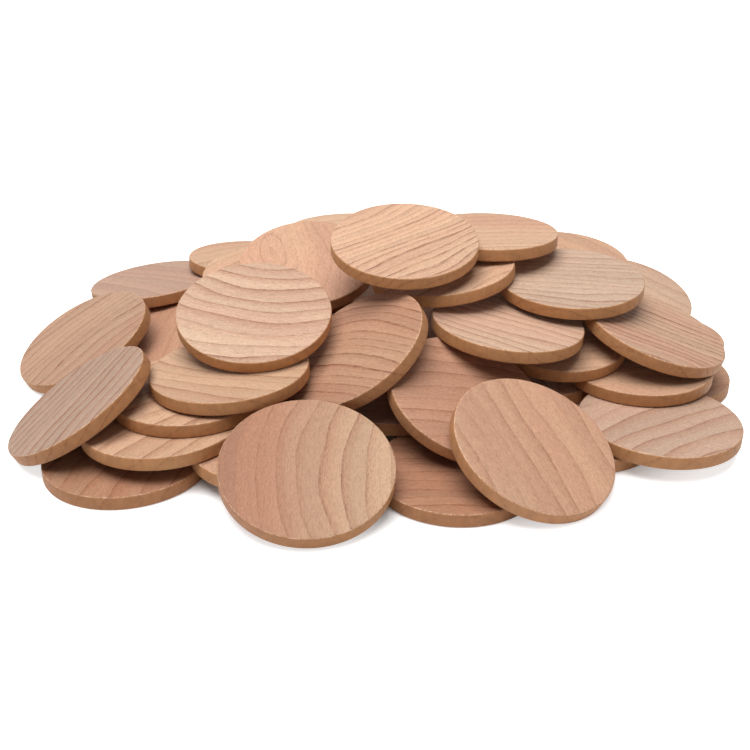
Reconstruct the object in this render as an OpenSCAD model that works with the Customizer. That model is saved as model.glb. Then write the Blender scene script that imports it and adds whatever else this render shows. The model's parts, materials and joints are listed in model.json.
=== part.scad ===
// A heap of plain round wooden game tokens, all the same size, lying loose on a table.
// The heap faces -Y, Z is up, and the origin is under the middle of the heap's outline, on the table.

/* [Token] */
// diameter of one token
token_diameter = 38; // [34:1:46]
// thickness of one token
token_thickness = 3.3; // [2.7:0.1:4]
// radius of the softened edge between a face and the rim
edge_radius = 0.4; // [0.2:0.05:0.8]

/* [Heap] */
// upright gap left between a token and the one that it rests on
resting_gap = 0.1; // [0.05:0.05:0.3]

/* [Hidden] */
$fn = 96;
// how often each slope of the parting plane is bettered
parting_rounds = 8;
// how much steeper than half way between the two tokens the slopes start
steep_shares = [0, 1, 3, 9];
// keeps the slope sum from dividing by nothing
slope_floor = 0.000001;
half_thickness = token_thickness / 2;
token_radius = token_diameter / 2;
core_radius = token_radius - edge_radius;
core_half = half_thickness - edge_radius;

// Where each token lies, in the order in which the tokens are laid: its name, how far right and how
// far back its centre is in shares of the diameter, by how many token thicknesses its high side
// stands above its low side, and the compass heading of its low side.
place_shares = [
    ["low_left_token", -1.50, -0.97, 0, 0],
    ["low_front_token", 0.48, -1.14, 0, 0],
    ["low_front_right_token", 1.31, -0.58, 0, 0],
    ["low_right_token", 1.99, 0.18, 0, 0],
    ["base_left_token", -1.57, 0.04, 0, 0],
    ["base_middle_left_token", -0.42, 0.22, 0, 0],
    ["base_middle_right_token", 0.58, 0.12, 0, 0],
    ["base_back_left_token", -0.93, 1.09, 0, 0],
    ["base_back_middle_token", 0.16, 1.09, 0, 0],
    ["base_back_right_token", 1.30, 0.93, 0, 0],
    ["base_far_left_token", -1.99, 0.96, 0, 0],
    ["rear_middle_token", -0.39, 1.94, 0, 0],
    ["rear_right_token", 0.70, 1.95, 0, 0],
    ["rear_far_right_token", 1.76, 1.83, 0, 0],
    ["rear_left_token", -1.46, 1.95, 0, 0],
    ["inner_bridge_token", 0.14, -0.28, 0, 0],
    ["inner_right_token", 1.10, 0.10, 0, 0],
    ["low_middle_token", -0.62, -0.95, 0, 0],
    ["stack_second_token", -1.29, -0.84, 0.2, 160],
    ["right_front_token", 1.78, -0.70, 0.2, 20],
    ["right_back_token", 2.07, 0.60, 0.4, 30],
    ["right_middle_token", 1.77, -0.08, 0.2, -88],
    ["stack_third_token", -1.15, -0.62, 0.2, 180],
    ["middle_leaning_token", 0.56, -0.73, 4.7, -49],
    ["front_right_leaning_token", 0.91, -1.20, 5.05, -48],
    ["front_leaning_token", -0.38, -1.40, 3.95, -80],
    ["inner_middle_token", 0.18, 0.25, 1.6, -170],
    ["centre_leaning_token", -0.12, -0.43, 6.25, -158],
    ["stack_fourth_token", -0.91, -0.56, 0.6, 168],
    ["right_inner_token", 1.22, 0.07, 1.6, -70],
    ["right_rear_upper_token", 1.91, 0.93, 2.8, -60],
    ["right_upper_token", 1.88, 0.02, 3.4, -19],
    ["centre_right_token", 0.87, -0.14, 1.0, 0],
    ["left_leaning_token", -1.82, -0.74, 5.75, -171],
    ["left_ledge_token", -1.47, 0.54, 2.0, -150],
    ["back_left_token", -1.76, 1.32, 1.4, 150],
    ["far_left_leaning_token", -2.07, 0.33, 4.85, -149],
    ["rear_left_upper_token", -1.01, 1.55, 1.0, 60],
    ["back_left_upper_token", -0.79, 0.88, 1.4, -90],
    ["rear_middle_upper_token", -0.20, 1.55, 0.8, 100],
    ["back_leaning_token", -0.49, 0.73, 3.55, -95],
    ["back_right_upper_token", 1.45, 1.14, 1.4, -80],
    ["right_top_token", 1.35, 0.30, 0.8, -95],
    ["left_top_token", -0.78, -0.22, 3.55, -86],
    ["centre_upper_token", 0.47, 0.36, 1.4, -170],
    ["back_top_token", 0.82, 0.76, 0.5, 79],
    ["top_token", 0.20, 0.25, 2.4, -88],
];
// Where the values stand in a row of the places, and in a laid token.
row_name = 0;
row_right = 1;
row_back = 2;
row_lift = 3;
row_heading = 4;
laid_centre = 0;
laid_axis = 1;
// The three axes of the table.
right_axis = [1, 0, 0];
back_axis = [0, 1, 0];
up_axis = [0, 0, 1];

// The tilt of a token, and the way that its upper face looks.
function tilt_of(row) = asin(row[row_lift] * token_thickness / token_diameter);
function axis_of(tilt, heading) =
    [sin(tilt) * cos(heading), sin(tilt) * sin(heading), cos(tilt)];

// How far a token reaches from its centre along the direction way, times the length of way.
function reach(way, axis) =
    core_radius * sqrt(max(0, way * way - pow(way * axis, 2)))
    + core_half * abs(way * axis)
    + edge_radius * norm(way);

// How far the upper token b must be raised for a plane square to way to pass between it and a.
function rise(way, offset, a, b) = way * offset + reach(way, a) + reach(way, b);

// The better slope of the parting plane, from the slope way: each curved term of the rise is
// replaced by a bowl that touches it at way, and the lowest point of the sum of the bowls is taken.
function better_way(way, offset, a, b) =
    let(
        share_a = core_radius / sqrt(way * way - pow(way * a, 2) + slope_floor),
        share_b = core_radius / sqrt(way * way - pow(way * b, 2) + slope_floor),
        share_edge = 2 * edge_radius / norm(way),
        xx = share_a * (1 - a.x * a.x) + share_b * (1 - b.x * b.x) + share_edge,
        yy = share_a * (1 - a.y * a.y) + share_b * (1 - b.y * b.y) + share_edge,
        xy = -share_a * a.x * a.y - share_b * b.x * b.y,
        gx = share_a * a.x * a.z + share_b * b.x * b.z - offset.x - core_half * (a.x + b.x),
        gy = share_a * a.y * a.z + share_b * b.y * b.z - offset.y - core_half * (a.y + b.y),
        whole = xx * yy - xy * xy
    )
    [(yy * gx - xy * gy) / whole, (xx * gy - xy * gx) / whole, 1];

// The least rise found while the parting plane is bettered again and again.
function least_rise(way, offset, a, b, left) =
    left < 1
    ? rise(way, offset, a, b)
    : min(rise(way, offset, a, b),
          least_rise(better_way(way, offset, a, b), offset, a, b, left - 1));

// How high the centre of a token over the place spot must be for the token to clear the laid token.
function height_over(spot, axis, laid) =
    let(
        offset = laid[laid_centre] - spot,
        flat = [offset.x, offset.y, 0],
        apart = norm(flat),
        aside = apart > 0 ? -flat / apart : right_axis,
        other = laid[laid_axis],
        between = (other / other.z + axis / axis.z) / 2
    )
    rise(aside, offset, other, axis) < 0
    ? 0
    : resting_gap + min(
        rise(other / other.z, offset, other, axis),
        rise(axis / axis.z, offset, other, axis),
        min([for (steep = steep_shares)
            least_rise(between + steep * aside, offset, other, axis, parting_rounds)]));

// Each token is let down where it belongs, until it meets the table or a token that lies there.
function laid_token(row, heap) =
    let(
        spot = [row[row_right] * token_diameter, row[row_back] * token_diameter, 0],
        axis = axis_of(tilt_of(row), row[row_heading]),
        heights = [for (laid = heap) height_over(spot, axis, laid)]
    )
    [[spot.x, spot.y, max(concat([reach(up_axis, axis)], heights))], axis];
function laid_heap(heap) =
    len(heap) == len(place_shares)
    ? heap
    : laid_heap(concat(heap, [laid_token(place_shares[len(heap)], heap)]));
heap = laid_heap([]);

// The middle of the heap's outline along one axis, half way between its farthest reaches.
function middle_along(way) =
    (max([for (laid = heap) way * laid[laid_centre] + reach(way, laid[laid_axis])])
     + min([for (laid = heap) way * laid[laid_centre] - reach(way, laid[laid_axis])])) / 2;
heap_middle = [middle_along(right_axis), middle_along(back_axis), 0];

NODES = [for (row = place_shares) row[row_name]];

// Half of the section through a token, with rounded corners.
module token_section() {
    translate([0, -half_thickness]) square([core_radius, token_thickness]);
    translate([0, -core_half]) square([token_radius, 2 * core_half]);
    for (side = [-1, 1])
        translate([core_radius, side * core_half]) circle(r = edge_radius);
}

module token() {
    color([0.87, 0.72, 0.56]) rotate_extrude() token_section();
}

module placed_token(index) {
    translate(heap[index][laid_centre] - heap_middle)
        rotate([0, 0, place_shares[index][row_heading]])
        rotate([0, tilt_of(place_shares[index]), 0])
        token();
}

for (index = [0 : len(NODES) - 1])
    placed_token(index);
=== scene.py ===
import json
import math

import bpy
import numpy as np
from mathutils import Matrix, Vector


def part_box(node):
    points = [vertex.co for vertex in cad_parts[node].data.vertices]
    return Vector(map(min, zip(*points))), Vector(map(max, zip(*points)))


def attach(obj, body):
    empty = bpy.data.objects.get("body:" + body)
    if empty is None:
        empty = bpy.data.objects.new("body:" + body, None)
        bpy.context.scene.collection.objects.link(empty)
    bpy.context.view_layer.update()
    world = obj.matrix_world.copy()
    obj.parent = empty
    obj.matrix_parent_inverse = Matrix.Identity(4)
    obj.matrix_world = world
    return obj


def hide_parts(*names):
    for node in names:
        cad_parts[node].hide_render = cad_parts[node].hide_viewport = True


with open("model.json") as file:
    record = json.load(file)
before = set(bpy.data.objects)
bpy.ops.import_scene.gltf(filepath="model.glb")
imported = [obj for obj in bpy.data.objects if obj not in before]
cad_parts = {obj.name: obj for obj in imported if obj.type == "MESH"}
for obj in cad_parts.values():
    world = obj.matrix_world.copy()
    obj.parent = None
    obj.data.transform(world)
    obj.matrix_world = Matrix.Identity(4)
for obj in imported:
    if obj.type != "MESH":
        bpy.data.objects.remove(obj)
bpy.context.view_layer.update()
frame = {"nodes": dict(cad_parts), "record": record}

# Sizes of one token in metres, as in the CAD part.
DIAMETER = 0.038
THICKNESS = 0.0033
EDGE = 0.0004
RADIUS = DIAMETER / 2
MM_IN_METRE = 1000
# How finely a token is made: vertices round it, points on each rounding, and where the rings of a
# face lie in shares of its radius.
AROUND = 160
EDGE_POINTS = 7
FACE_RINGS = (0, 0.25, 0.5, 0.75, 0.92)
# How steeply the rim share climbs over the rounding of the edge, and how late it starts.
RIM_CLIMB = 1.6
RIM_DELAY = 0.2

# How each token's wood looks: the way its grain runs in the picture, in degrees from the right; the
# distance between growth lines in mm; how much they arch, per mm; how strong they are; how pink
# (1) or straw-coloured (0) the wood is; how light it is painted, from 0 to 1, which is partly the
# wood's own tone and partly painted shade and light, matched to how bright each token looks where
# it lies; and where in the log it was cut, in mm.
LOOKS = {
    "front_leaning_token": (82, 4.6, 0.008, 0.95, 0.5, 0.16, 3),
    "front_right_leaning_token": (-58, 4.4, 0.003, 0.7, 0.75, 0.46, 11),
    # painted dark for the shade it lies in under the tokens in front
    "low_front_token": (-2, 3.4, 0.004, 1.2, 0.65, 0, 5),
    "middle_leaning_token": (-7, 4.2, 0.006, 1.2, 0.85, 0.32, 19),
    "centre_leaning_token": (2, 2.9, 0.01, 2, 0.65, 0.29, 8),
    "left_top_token": (-8, 4.4, -0.012, 1.3, 0.35, 0.64, 14),
    "stack_fourth_token": (-4, 4, -0.008, 1.1, 0.3, 0.42, 2),
    "stack_third_token": (19, 4.4, 0.004, 1.3, 0.4, 0.43, 21),
    "stack_second_token": (30, 5.5, 0.003, 1.3, 0.4, 0.5, 6),
    "low_left_token": (45, 5.6, 0.006, 1.9, 0.55, 0.02, 12),
    "left_leaning_token": (47, 3.3, 0.002, 2.4, 0.35, 0.1, 9),
    "far_left_leaning_token": (38, 3, 0.005, 1.5, 0.45, 0.27, 16),
    "back_left_token": (-8, 4.6, 0.004, 0.6, 0.75, 0.29, 24),
    "left_ledge_token": (60, 4.2, 0.004, 0.6, 0.8, 0.29, 1),
    "back_leaning_token": (-75, 2.7, 0, 0.45, 0.75, 0.66, 7),
    "back_left_upper_token": (20, 4.4, 0.006, 0.7, 0.4, 0.58, 18),
    "rear_left_upper_token": (8, 5, 0.004, 0.6, 0.35, 0.52, 4),
    "rear_middle_upper_token": (6, 5, 0.004, 0.5, 0.35, 0.66, 13),
    "top_token": (21, 2.1, -0.003, 1.45, 0.5, 0.78, 10),
    "back_top_token": (0, 3.8, 0.003, 0.7, 0.45, 0.57, 22),
    # painted lighter against the shade that the top token casts on it
    "centre_upper_token": (22, 4.6, 0.008, 1, 0.45, 0.72, 15),
    "centre_right_token": (-15, 3.2, -0.003, 1.3, 0.45, 0.62, 17),
    "right_top_token": (-4, 2.8, -0.003, 1.1, 0.15, 0.48, 20),
    "back_right_upper_token": (-30, 4.6, 0.004, 0.6, 0.6, 0.5, 3.5),
    "right_rear_upper_token": (-25, 5, 0.003, 0.5, 0.45, 0.6, 9.5),
    "right_upper_token": (-22, 2.6, 0.002, 1.7, 0.5, 0.47, 12.5),
    # painted lighter against the shade it lies in
    "right_inner_token": (4, 4.2, 0.004, 0.6, 0.35, 0.5, 6.5),
    "right_middle_token": (-3, 4.4, 0.003, 0.6, 0.4, 0.42, 2.5),
    "right_front_token": (18, 5.5, 0.004, 1.1, 0.5, 0.42, 19.5),
    "right_back_token": (-20, 4, 0.003, 0.7, 0.5, 0.35, 5.5),
    # painted dark for the deep shade it lies in
    "inner_bridge_token": (-3, 3.4, 0.004, 0.9, 0.6, 0.05, 14.5),
    "low_right_token": (10, 4.4, 0.004, 0.6, 0.5, 0.3, 7.5),
}
# The least and the most of each of these values, for the tokens that the photograph doesn't show or
# shows only as a sliver.
HIDDEN_LOOKS = ((-90, 90), (3.2, 5.6), (-0.008, 0.008), (0.5, 0.9), (0.3, 0.7), (0.4, 0.65), (0, 25))

# Tokens whose wood is greyer than the rest, and by what share.
GREYED = {
    "left_leaning_token": 0.40,
    "back_left_token": 0.30,
    "right_front_token": 0.30,
    "right_top_token": 0.30,
    "right_rear_upper_token": 0.20,
    "centre_right_token": 0.20,
    "left_top_token": 0.15,
    "far_left_leaning_token": 0.10,
    "right_upper_token": 0.10,
}
# Tokens that change from side to side: how much pinker and how much lighter, per mm across the grain.
TURNING = {"front_leaning_token": (0.05, -0.010)}
# Tokens whose growth lines close into ovals: where the middle of the ovals lies from the token's
# centre, in mm along the grain and across it. Then how wide an oval is, as a share of its length.
OVALS = {"back_leaning_token": (-7.0, -9.0)}
OVAL_WIDTH = 0.4
# Where a token lies in its board: how far along from the top of the arches, at most, in mm, and how
# much deeper for each mm of its place in the log.
BOARD_SHIFT = 4
BOARD_DEPTH = 7.3

# Patterns in the wood: how many of their features there are to a mm along the grain, across it and
# through the thickness, then the detail and the roughness of the noise. The fibres, pores and flecks
# of beech are finer than this, and are drawn as coarse as they need to be to show.
PATTERNS = {
    # the growth lines wander over about 14 mm and shake over 2 mm
    "wander": (0.028, 0.07, 0.07, 1, 0.5),
    "shake": (0.30, 0.5, 0.5, 2, 0.5),
    # they fade for stretches of about 5 mm, and pores about 0.6 mm long break them up
    "breaks": (0.22, 1.2, 1.2, 2, 0.5),
    "pores": (1.6, 3, 3, 2, 0.6),
    # pink and straw zones about 11 mm wide
    "zones": (0.015, 0.09, 0.09, 2, 0.5),
    # fibres 2 mm long and 0.2 mm wide, and flecks half as long
    "fibres": (0.45, 4.5, 4.5, 3, 0.65),
    "flecks": (1, 5, 5, 1, 0.5),
    # the grit of the sanded face, about half a millimetre
    "grit": (1.5, 2.4, 2.4, 3, 0.75),
    # marks of the cutter on the rim, and wear, frayed fibres with a painted highlight, and scorching along
    # its edges
    "cutter": (0.7, 0.7, 0.4, 3, 0.6),
    "wear": (1.4, 1.4, 1.4, 2, 0.5),
    "fray_and_highlight": (1.3, 1.3, 1.3, 4, 0.75),
    "scorch": (0.8, 0.8, 0.8, 3, 0.7),
    # fibres that stand up, for the bump
    "relief": (0.7, 5, 5, 3, 0.6),
}
# How far the lines wander and shake, in mm, and how far they lean over per mm of depth.
WANDER = 9.0
SHAKE = 0.45
LEAN = 0.8

# How a value becomes a share or a tone: while it goes from the first number to the second, the result
# goes smoothly from the third to the fourth.
RANGES = {
    # from the mm that are left before the end of a year, and the mm after it
    "line_before": (0.06, 0.75, 1, 0),
    "line_after": (0, 0.10, 1, 0),
    # from the chance of the year
    "line_chance": (0, 0.9, 0.35, 1),
    "year_tone": (0, 1, 0.91, 1.05),
    # from the mm to the fainter line within the year
    "inner_line": (0.05, 0.45, 0.18, 0),
    # from how far on in the year it is, and from the spacing of the lines in mm
    "shade": (0.35, 1, 0, 1),
    "wide_years": (1.5, 4.5, 0.35, 1),
    # from the patterns
    "breaks": (0.34, 0.58, 0.25, 1),
    "pores": (0.36, 0.60, 0.45, 1),
    "zones": (0, 1, 0, 1),
    "fibres": (0.28, 0.72, 0.88, 1.08),
    "flecks": (0.60, 0.72, 0, 1),
    "grit": (0.28, 0.72, 0.88, 1.09),
    "cutter": (0.3, 0.7, 0.90, 1.07),
    "wear": (0.30, 0.60, 0, 1),
    # pale frayed fibres and painted highlight on the arris
    "fray_and_highlight": (0.42, 0.64, 0, 0.60),
    "scorch": (0.57, 0.70, 0, 0.55),
    # from the rim share, outwards from the face and inwards from the rim
    "arris_outwards": (0, 0.45, 0, 1),
    "arris_inwards": (0.50, 1, 1, 0),
}
# Where in the year the fainter line lies, at the least, and how much farther on it may be.
INNER_LINE = 0.3
INNER_SPREAD = 0.4
# From how low to how high a pattern moves a share round its own value, and how much the shade before
# a line adds to the flecks there.
ZONE_SPREAD = 1.6
WEAR_SPREAD = 0.7
FLECK_CROWD = 0.10

# Colours of the wood, dark and light, then those that are laid over it, with their shares.
# Each token's wood lies between the dark and the light colour by its lightness, which is partly painted
# shade and light.
STRAW = ("ab866a", "dfbc9c")
ROSY = ("a4745a", "dbac90")
GREY = ("9d928a", "cec2b8")
GOLDEN = ("9e6c42", "ca9562")
LINE_BROWN, LINE_SHARE = "7a4c34", 0.66
SHADE_BROWN, SHADE_SHARE = "a06c50", 0.36
FLECK_BROWN, FLECK_SHARE, RIM_FLECK_SHARE = "86583a", 0.34, 0.25
RIM_PINK, RIM_PINK_SHARE = "b58060", 0.5
RIM_LINE_BROWN, RIM_LINE_SHARE = "7a4a2e", 0.35
# Pale of frayed fibres and of a painted highlight along the rounded edge.
FRAYED_PALE_AND_HIGHLIGHT = "e8cbae"
SCORCHED_BROWN = "7d4630"

# The finish of sanded bare wood. Its bump: the strength, the depth in metres, and how far the lines and
# flecks go down for each step that the fibres stand up.
ROUGHNESS = 0.6
SPECULAR = 0.3
BUMP_STRENGTH = 0.22
BUMP_DEPTH = 0.00012
LINES_DEEPER = -0.8

# Kinds of node and their settings.
MATH = "ShaderNodeMath"
TIMES = {"operation": "MULTIPLY"}
TIMES_PLUS = {"operation": "MULTIPLY_ADD"}
PLUS = {"operation": "ADD"}
MINUS = {"operation": "SUBTRACT"}
OVER = {"operation": "DIVIDE"}
LARGER = {"operation": "MAXIMUM"}
ROOT = {"operation": "SQRT"}
WITHOUT_SIGN = {"operation": "ABSOLUTE"}
WHOLE = {"operation": "FLOOR"}
REST = {"operation": "FRACT"}
RANGE = "ShaderNodeMapRange"
SMOOTH = {"interpolation_type": "SMOOTHSTEP"}
MIX = "ShaderNodeMix"
OVERLAID = {"data_type": "RGBA", "blend_type": "MIX", "clamp_factor": True}
TONED = {"data_type": "RGBA", "blend_type": "MULTIPLY", "clamp_factor": True}
ATTRIBUTE = "ShaderNodeAttribute"
VECTOR_MATH = "ShaderNodeVectorMath"

# The table: how far it reaches and how far under the heap it lies, in metres, and how pale it is. Its
# shine: how far the heap's oval reaches to the side and to the front, in metres, then two ranges like
# the ones above, from the distance in such ovals to the strength.
TABLE_REACH = 6
TABLE_GAP = 0.0001
PAPER = (0.90, 0.90, 0.90, 1)
HEAP_OVAL = (0.097, 0.082)
SHINES = ((0.75, 1, 0, 0.70), (2, 8, 0, 0.30))

# The light: a faint sky, a wide soft lamp overhead, a little to the left, and a weak one in front.
WHITE = (1, 1, 1, 1)
SKY_TINT = (1.0, 0.985, 0.97, 1)
SKY_STRENGTH = 0.10
# Lamps: name, place in metres, side of the square in metres, and power in watts.
LAMPS = (
    ("overhead_softbox", (-0.12, -0.12, 0.90), 0.8, 12.3),
    ("front_fill", (0.35, -0.9, 0.55), 0.8, 0.6),
)
LAMP_AIM = (0, 0, 0.01)

# Where the photograph was taken from: a 48 mm lens on a 36 mm sensor, looking along +Y and down. In
# token diameters: how far in front of the middle and how high above the table the camera stands, and
# how far right and in front of that middle the low front token lies.
LENS_MM = 48
SENSOR_MM = 36
LOOKING_DOWN = math.radians(26)
CAMERA_IN_FRONT = 6.2
CAMERA_ABOVE = 3.16
LOW_FRONT_RIGHT = 0.48
LOW_FRONT_IN_FRONT = 1.14
PICTURE_RIGHT = np.array((1.0, 0.0, 0.0))
PICTURE_UP = np.array((0.0, math.sin(LOOKING_DOWN), math.cos(LOOKING_DOWN)))

seeds = np.random.default_rng(38)


def linear(code):
    """A hex colour such as "c8a27c" as linear red, green, blue and alpha, by the sRGB curve."""
    parts = [int(code[k:k + 2], 16) / 255 for k in (0, 2, 4)]
    return [p / 12.92 if p <= 0.04045 else ((p + 0.055) / 1.055) ** 2.4 for p in parts] + [1.0]


def add(tree, kind, settings=None, *values, **named):
    """A node of that kind with settings. The values go into its sockets in order, and the named ones
    into the socket of that name, or of the number after an i. A value that is a socket is linked, and
    so is a node, by the first of its outputs that is in use."""
    made = tree.nodes.new(kind)
    for key, value in (settings or {}).items():
        setattr(made, key, value)
    wanted = list(enumerate(values))
    wanted += [(int(key[1:]) if key[1:].isdigit() else key, value) for key, value in named.items()]
    for key, value in wanted:
        if isinstance(value, bpy.types.Node):
            value = next(output for output in value.outputs if output.enabled)
        if isinstance(value, bpy.types.NodeSocket):
            tree.links.new(value, made.inputs[key])
        else:
            made.inputs[key].default_value = value
    return made


def in_scene(name, data):
    """A new object that holds data, linked into the scene."""
    made = bpy.data.objects.new(name, data)
    bpy.context.scene.collection.objects.link(made)
    return made


def box_middle(name):
    """The middle of a CAD node's box."""
    low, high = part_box(name)
    return (np.array(low) + np.array(high)) / 2


def camera_place():
    """Where the camera stands, found from the low front token."""
    token = box_middle("low_front_token")
    return np.array((token[0] - LOW_FRONT_RIGHT * DIAMETER,
                     token[1] + (LOW_FRONT_IN_FRONT - CAMERA_IN_FRONT) * DIAMETER,
                     CAMERA_ABOVE * DIAMETER))


def wood_patterns(tree, grain):
    """The noise of each pattern, drawn out along the grain."""
    patterns = {}
    for title, (along, across, deep, detail, rough) in PATTERNS.items():
        size = add(tree, VECTOR_MATH, TIMES, grain, (along, across, deep))
        patterns[title] = add(tree, "ShaderNodeTexNoise", {"noise_dimensions": "3D"}, Vector=size,
                              Scale=1.0, Detail=detail, Roughness=rough)
    return patterns


def year_rings(tree, place, spacing, arch, patterns):
    """How many years on a point is. The place across the grain is arched by the square of the place
    along it times arch, or for an oval figure is the root of the sum of both squares. It leans with
    the depth, wanders and shakes, and is divided by the spacing."""
    along, across, deep = place
    along_squared = add(tree, MATH, TIMES, along, along)
    across_squared = add(tree, MATH, TIMES, across, across)
    arched = add(tree, MATH, TIMES_PLUS, along_squared, arch, across)
    squares = add(tree, MATH, TIMES_PLUS, along_squared, OVAL_WIDTH ** 2, across_squared)
    oval = add(tree, MATH, ROOT, squares)
    closed = add(tree, ATTRIBUTE, {"attribute_name": "oval_share"}).outputs["Fac"]
    figure = add(tree, MATH, TIMES_PLUS, add(tree, MATH, MINUS, oval, arched), closed, arched)
    leant = add(tree, MATH, TIMES_PLUS, deep, LEAN, figure)
    wandering = add(tree, MATH, TIMES_PLUS, patterns["wander"], WANDER, leant)
    shaken = add(tree, MATH, TIMES_PLUS, patterns["shake"], SHAKE, wandering)
    return add(tree, MATH, OVER, shaken, spacing)


def growth_lines(tree, rings, spacing, strength, patterns):
    """A thin line at the end of each year, a fainter one somewhere within it, the shade that leads up
    to its end, and the tone of the whole year. Each year has its own chances."""
    year_share = add(tree, MATH, REST, rings)
    year = add(tree, "ShaderNodeCombineXYZ", None, add(tree, MATH, WHOLE, rings), spacing)
    drawn = add(tree, "ShaderNodeTexWhiteNoise", {"noise_dimensions": "2D"}, Vector=year)
    chances = add(tree, "ShaderNodeSeparateColor", None, drawn.outputs["Color"]).outputs
    mm_since = add(tree, MATH, TIMES, year_share, spacing)
    mm_left = add(tree, MATH, TIMES, add(tree, MATH, MINUS, 1.0, year_share), spacing)
    before = add(tree, RANGE, SMOOTH, mm_left, *RANGES["line_before"])
    after = add(tree, RANGE, SMOOTH, mm_since, *RANGES["line_after"])
    chance = add(tree, RANGE, SMOOTH, chances[0], *RANGES["line_chance"])
    broken = add(tree, MATH, TIMES, add(tree, RANGE, SMOOTH, patterns["breaks"], *RANGES["breaks"]),
                 add(tree, RANGE, SMOOTH, patterns["pores"], *RANGES["pores"]))
    line = add(tree, MATH, TIMES, add(tree, MATH, LARGER, before, after), broken)
    line = add(tree, MATH, TIMES, line, add(tree, MATH, TIMES, chance, strength))

    inner_place = add(tree, MATH, TIMES_PLUS, chances[1], INNER_SPREAD, INNER_LINE)
    apart = add(tree, MATH, WITHOUT_SIGN, add(tree, MATH, MINUS, year_share, inner_place))
    inner = add(tree, RANGE, SMOOTH, add(tree, MATH, TIMES, apart, spacing), *RANGES["inner_line"])
    inner = add(tree, MATH, TIMES, add(tree, MATH, TIMES, inner, broken), strength)

    shade = add(tree, MATH, TIMES, add(tree, RANGE, SMOOTH, year_share, *RANGES["shade"]), strength)
    wide = add(tree, RANGE, SMOOTH, spacing, *RANGES["wide_years"])
    shade = add(tree, MATH, TIMES, add(tree, MATH, TIMES, shade, chance), wide)
    tone = add(tree, RANGE, SMOOTH, chances[2], *RANGES["year_tone"])
    return line, inner, shade, tone


def laid_over(tree, base, layers):
    """The base colour with each layer over it: where it lies, how much of it shows, and its colour."""
    for place, share, code in layers:
        base = add(tree, MIX, OVERLAID, add(tree, MATH, TIMES, place, share), i6=base, i7=linear(code))
    return base


def face_colour(tree, lightness_with_painted_shade, pink, lines, fleck, patterns):
    """Pink and straw zones, greyed in some tokens, with the tones of the years, the growth lines, the
    fibres, the grit and the flecks over them."""
    line, inner, shade, year_tone = lines
    # straw, rosy and grey each lie between dark and light by the lightness, partly painted shade and light
    straw, rosy, grey = (add(tree, MIX, OVERLAID, lightness_with_painted_shade, i6=linear(dark), i7=linear(pale))
                         for dark, pale in (STRAW, ROSY, GREY))
    zone = add(tree, MATH, TIMES_PLUS, patterns["zones"], ZONE_SPREAD,
               add(tree, MATH, MINUS, pink, ZONE_SPREAD / 2))
    zone = add(tree, RANGE, SMOOTH, zone, *RANGES["zones"])
    colour = add(tree, MIX, OVERLAID, zone, i6=straw, i7=rosy)
    greyed = add(tree, ATTRIBUTE, {"attribute_name": "grey_share"}).outputs["Fac"]
    colour = add(tree, MIX, OVERLAID, greyed, i6=colour, i7=grey)
    colour = add(tree, MIX, TONED, 1.0, i6=colour, i7=year_tone)
    colour = laid_over(tree, colour, (
        (shade, SHADE_SHARE, SHADE_BROWN),
        (add(tree, MATH, LARGER, line, inner), LINE_SHARE, LINE_BROWN)))
    for title in ("fibres", "grit"):
        tone = add(tree, RANGE, SMOOTH, patterns[title], *RANGES[title])
        colour = add(tree, MIX, TONED, 1.0, i6=colour, i7=tone)
    return laid_over(tree, colour, ((fleck, FLECK_SHARE, FLECK_BROWN),))


def rim_colour(tree, lightness_with_painted_shade, pink, line, fleck, patterns):
    """The rim is cut across the fibres, and so it is more golden, with soft marks of the cutter."""
    # the gold also follows the lightness, partly painted shade and light
    gold = add(tree, MIX, OVERLAID, lightness_with_painted_shade, i6=linear(GOLDEN[0]), i7=linear(GOLDEN[1]))
    gold = laid_over(tree, gold, ((pink, RIM_PINK_SHARE, RIM_PINK),))
    tone = add(tree, RANGE, SMOOTH, patterns["cutter"], *RANGES["cutter"])
    gold = add(tree, MIX, TONED, 1.0, i6=gold, i7=tone)
    return laid_over(tree, gold, (
        (line, RIM_LINE_SHARE, RIM_LINE_BROWN),
        (fleck, RIM_FLECK_SHARE, FLECK_BROWN)))


def worn_and_highlit_edge(tree, face, gold, rim, patterns):
    """The face's colour turns into the rim's along a worn edge, in patches. The arris between them is
    painted pale in places, for frayed fibres and as a painted highlight on the rounded edge, and
    scorched in others."""
    wear = add(tree, MATH, TIMES_PLUS, patterns["wear"], WEAR_SPREAD,
               add(tree, MATH, MINUS, rim, WEAR_SPREAD / 2))
    colour = add(tree, MIX, OVERLAID, add(tree, RANGE, SMOOTH, wear, *RANGES["wear"]), i6=face, i7=gold)
    arris = add(tree, MATH, TIMES, add(tree, RANGE, SMOOTH, rim, *RANGES["arris_outwards"]),
                add(tree, RANGE, SMOOTH, rim, *RANGES["arris_inwards"]))
    # pale frayed fibres with a painted highlight, then scorch marks, along the arris
    for title, code in (("fray_and_highlight", FRAYED_PALE_AND_HIGHLIGHT), ("scorch", SCORCHED_BROWN)):
        share = add(tree, RANGE, SMOOTH, patterns[title], *RANGES[title])
        share = add(tree, MATH, TIMES, arris, share)
        colour = add(tree, MIX, OVERLAID, share, i6=colour, i7=linear(code))
    return colour


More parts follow.
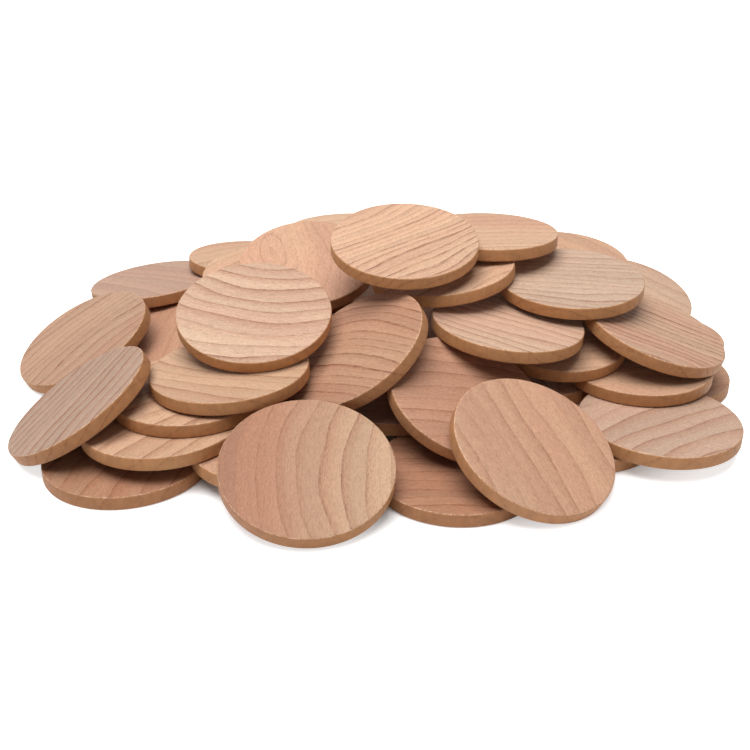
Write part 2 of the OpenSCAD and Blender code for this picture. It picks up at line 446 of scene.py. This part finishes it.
def sanded_beech():
    """Sanded bare beech: matt, with thin brown growth lines of uneven strength, a slight darkening
    that leads up to each, years of slightly different tone, short dark flecks along the grain that
    crowd at the lines, slow pink and straw zones, and a golden cut rim."""
    made = bpy.data.materials.new("sanded_bare_beech")
    made.use_nodes = True
    tree = made.node_tree
    grain, habit, tone = (add(tree, ATTRIBUTE, {"attribute_name": title}).outputs["Vector"]
                          for title in ("grain_mm", "line_habit", "wood_tone_and_painted_shade"))
    place = add(tree, "ShaderNodeSeparateXYZ", None, grain).outputs
    spacing, arch, strength = add(tree, "ShaderNodeSeparateXYZ", None, habit).outputs
    # the lightness is partly the wood's own tone and partly painted shade and light
    pink, lightness_with_painted_shade, rim = add(tree, "ShaderNodeSeparateXYZ", None, tone).outputs

    patterns = wood_patterns(tree, grain)
    rings = year_rings(tree, place, spacing, arch, patterns)
    lines = growth_lines(tree, rings, spacing, strength, patterns)
    line, _, shade, _ = lines
    crowd = add(tree, MATH, TIMES_PLUS, shade, FLECK_CROWD, patterns["flecks"])
    fleck = add(tree, RANGE, SMOOTH, crowd, *RANGES["flecks"])
    face = face_colour(tree, lightness_with_painted_shade, pink, lines, fleck, patterns)
    gold = rim_colour(tree, lightness_with_painted_shade, pink, line, fleck, patterns)
    # the worn edge, with pale fibres and a painted highlight on its arris
    colour = worn_and_highlit_edge(tree, face, gold, rim, patterns)

    height = add(tree, MATH, TIMES_PLUS, add(tree, MATH, LARGER, line, fleck), LINES_DEEPER,
                 patterns["relief"])
    bump = add(tree, "ShaderNodeBump", None, Height=height, Strength=BUMP_STRENGTH, Distance=BUMP_DEPTH)
    shader = tree.nodes["Principled BSDF"]
    tree.links.new(colour.outputs[2], shader.inputs["Base Color"])
    tree.links.new(bump.outputs["Normal"], shader.inputs["Normal"])
    shader.inputs["Roughness"].default_value = ROUGHNESS
    shader.inputs["Specular IOR Level"].default_value = SPECULAR
    return made


def token_profile():
    """Half of the section through a token from the top pole to the bottom pole: a flat face, a
    quarter circle of radius EDGE, the straight rim and the same again. Gives distance from the
    middle line, height, and a share that is 1 on the rim and 0 on the faces."""
    flat = (RADIUS - EDGE) * np.array(FACE_RINGS)
    turn = np.linspace(0, math.pi / 2, EDGE_POINTS)
    out = np.concatenate((flat, RADIUS - EDGE + EDGE * np.sin(turn)))
    height = np.concatenate((np.full(len(flat), THICKNESS / 2), THICKNESS / 2 - EDGE + EDGE * np.cos(turn)))
    climb = np.clip(turn / (math.pi / 2) * RIM_CLIMB - RIM_DELAY, 0, 1)
    rim = np.concatenate((np.zeros(len(flat)), climb))
    return [np.concatenate((half, side * half[::-1])) for half, side in ((out, 1), (height, -1), (rim, 1))]


def turned_token():
    """A token about its own axis: each point of the profile is carried round to (out * cos(turn),
    out * sin(turn), height), and each pole is one vertex. Gives across, away, up and the rim share of
    the vertices, and the faces."""
    out, height, rim = token_profile()
    turn = np.arange(AROUND) * 2 * math.pi / AROUND
    across, away = (np.concatenate(([0], np.outer(out[1:-1], part).ravel(), [0]))
                    for part in (np.cos(turn), np.sin(turn)))
    up, share = (np.concatenate((values[:1], np.repeat(values[1:-1], AROUND), values[-1:]))
                 for values in (height, rim))

    ring = np.arange(AROUND)
    start = 1 + AROUND * np.arange(len(out) - 2)[:, None]
    here = start + ring
    there = start + (ring + 1) % AROUND
    sides = np.stack((here[:-1], here[1:], there[1:], there[:-1]), -1).reshape(-1, 4)
    cap = np.stack((np.zeros(AROUND, int), here[0], there[0]), -1)
    foot = np.stack((np.full(AROUND, len(up) - 1), there[-1], here[-1]), -1)
    return across, away, up, share, cap.tolist() + sides.tolist() + foot.tolist()


def token_place(name):
    """Centre and upward axis of a CAD token: the middle of its box, and the way in which most of its
    surface looks, the main axis of the sum of area * normal * normal over its facets."""
    node = frame["nodes"][name]
    facets = node.data.polygons
    area = np.empty(len(facets))
    facets.foreach_get("area", area)
    normal = np.empty(len(facets) * 3)
    facets.foreach_get("normal", normal)
    normal = normal.reshape(-1, 3) @ np.array(node.matrix_world.to_3x3()).T
    axis = np.linalg.eigh((normal * area[:, None]).T @ normal)[1][:, 2]
    return box_middle(name), axis if axis[2] > 0 else -axis


def grain_lie(angle, eye, centre, right, back, axis):
    """The way of the grain in a token's plane, as an angle from right towards back, that shows at
    angle in the picture: the plane through the eye, the token's centre and the picture line at that
    angle, cut with the token's plane. The end of the line that points to the right is taken."""
    line = math.cos(angle) * PICTURE_RIGHT + math.sin(angle) * PICTURE_UP
    along = np.cross(np.cross(centre - eye, line), axis)
    if along @ right < 0:
        along = -along
    return math.atan2(along @ back, along @ right)


def token_piece(name, shape, eye, material):
    """One token, the turned shape set down at the place of its solid. Each vertex also carries its
    place in the board that the token was cut from, in mm along the grain, across it and through the
    thickness, and the looks of the token's wood, whose lightness is partly painted shade and light."""
    look = LOOKS.get(name)
    if look is None:
        look = [seeds.uniform(least, most) for least, most in HIDDEN_LOOKS]
    angle, spacing, arch, strength, pink, lightness_with_painted_shade, log_place = look
    across, away, up, share, faces = shape
    centre, axis = token_place(name)
    right = np.cross((0, 1, 0), axis)
    right /= np.linalg.norm(right)
    back = np.cross(axis, right)
    points = centre + np.outer(across, right) + np.outer(away, back) + np.outer(up, axis)
    mesh = bpy.data.meshes.new(name + "_beech")
    mesh.from_pydata(points.tolist(), [], faces)
    mesh.polygons.foreach_set("use_smooth", np.ones(len(mesh.polygons), bool))

    lie = grain_lie(math.radians(angle), eye, centre, right, back, axis)
    along = (across * math.cos(lie) + away * math.sin(lie)) * MM_IN_METRE
    aside = (-across * math.sin(lie) + away * math.cos(lie)) * MM_IN_METRE
    shift = seeds.uniform(-BOARD_SHIFT, BOARD_SHIFT)
    middle = OVALS.get(name, (-shift, -log_place))
    deep = up * MM_IN_METRE + log_place * BOARD_DEPTH
    # The lightness goes in with the wood's tone, and is partly painted shade and light.
    pinker, lighter = TURNING.get(name, (0, 0))
    for title, values in (
            ("grain_mm", np.stack((along - middle[0], aside - middle[1], deep), -1)),
            ("line_habit", np.tile((spacing, arch, strength), (len(points), 1))),
            ("wood_tone_and_painted_shade", np.stack((pink + pinker * aside, lightness_with_painted_shade + lighter * aside, share), -1))):
        mesh.attributes.new(title, "FLOAT_VECTOR", "POINT").data.foreach_set(
            "vector", values.astype(np.float32).ravel())
    for title, value in (("grey_share", GREYED.get(name, 0)), ("oval_share", int(name in OVALS))):
        mesh.attributes.new(title, "FLOAT", "POINT").data.foreach_set(
            "value", np.full(len(points), value, np.float32))
    mesh.materials.append(material)
    mesh.validate()
    return in_scene(name + "_beech", mesh)


def plainly_seen(tree):
    """1 for the rays that the camera, a gloss or a clear body sees, and 0 for those that light things."""
    ray = add(tree, "ShaderNodeLightPath").outputs
    return add(tree, MATH, LARGER, ray["Is Camera Ray"],
               add(tree, MATH, LARGER, ray["Is Glossy Ray"], ray["Is Transmission Ray"]))


def white_paper():
    """Matt white paper. Where it is only seen, it also shines outside the heap's oval, and more so far
    away, so that it stays white to its edge and keeps the shadow under the heap."""
    made = bpy.data.materials.new("white_paper_table")
    made.use_nodes = True
    tree = made.node_tree
    tree.nodes.clear()
    matt = add(tree, "ShaderNodeBsdfDiffuse", None, Color=PAPER)
    position = add(tree, "ShaderNodeNewGeometry").outputs["Position"]
    ovals = add(tree, VECTOR_MATH, TIMES, position, (1 / HEAP_OVAL[0], 1 / HEAP_OVAL[1], 0))
    apart = add(tree, VECTOR_MATH, {"operation": "LENGTH"}, ovals)
    near, far = (add(tree, RANGE, SMOOTH, apart, *limits) for limits in SHINES)
    glow = add(tree, MATH, TIMES, plainly_seen(tree), add(tree, MATH, PLUS, near, far))
    shine = add(tree, "ShaderNodeEmission", None, Color=WHITE, Strength=glow)
    add(tree, "ShaderNodeOutputMaterial", None, Surface=add(tree, "ShaderNodeAddShader", None, matt, shine))
    return made


def white_table():
    """The white table that the photograph is cut out on, far larger than the heap."""
    corners = [(x * TABLE_REACH, y * TABLE_REACH, 0) for x, y in ((-1, -1), (1, -1), (1, 1), (-1, 1))]
    mesh = bpy.data.meshes.new("table")
    mesh.from_pydata(corners, [], [(0, 1, 2, 3)])
    mesh.materials.append(white_paper())
    made = in_scene("table", mesh)
    made.location.z = -TABLE_GAP
    return made


def white_sky():
    """A faint, slightly warm sky that lights the heap evenly, and is white where it is only seen."""
    made = bpy.data.worlds.new("white_sky")
    made.use_nodes = True
    tree = made.node_tree
    tree.nodes.clear()
    soft = add(tree, "ShaderNodeBackground", None, Color=SKY_TINT, Strength=SKY_STRENGTH)
    plain = add(tree, "ShaderNodeBackground", None, Color=WHITE, Strength=1.0)
    both = add(tree, "ShaderNodeMixShader", None, plainly_seen(tree), soft, plain)
    add(tree, "ShaderNodeOutputWorld", None, Surface=both)
    return made


def lamp(name, place, size, power):
    """A square area lamp at place, turned towards LAMP_AIM."""
    data = bpy.data.lights.new(name, "AREA")
    data.size = size
    data.energy = power
    made = in_scene(name, data)
    made.location = place
    way = np.array(LAMP_AIM, float) - np.array(place, float)
    made.rotation_euler = (math.atan2(math.hypot(way[0], way[1]), -way[2]), 0, math.atan2(-way[0], way[1]))
    return made


def photograph_camera(eye):
    """The camera of the photograph, level from side to side."""
    lens = bpy.data.cameras.new("camera")
    lens.lens = LENS_MM
    lens.sensor_width = SENSOR_MM
    made = in_scene("camera", lens)
    made.location = eye
    made.rotation_euler = (math.pi / 2 - LOOKING_DOWN, 0, 0)
    return made


eye = camera_place()
beech = sanded_beech()
shape = turned_token()
for body, nodes in frame["record"]["behaviour"]["bodies"].items():
    for name in nodes:
        piece = token_piece(name, shape, eye, beech)
        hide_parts(name)
        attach(piece, body)

white_table()
bpy.context.scene.world = white_sky()
for row in LAMPS:
    lamp(*row)
bpy.context.scene.camera = photograph_camera(eye)
bpy.context.scene.view_settings.view_transform = "Standard"
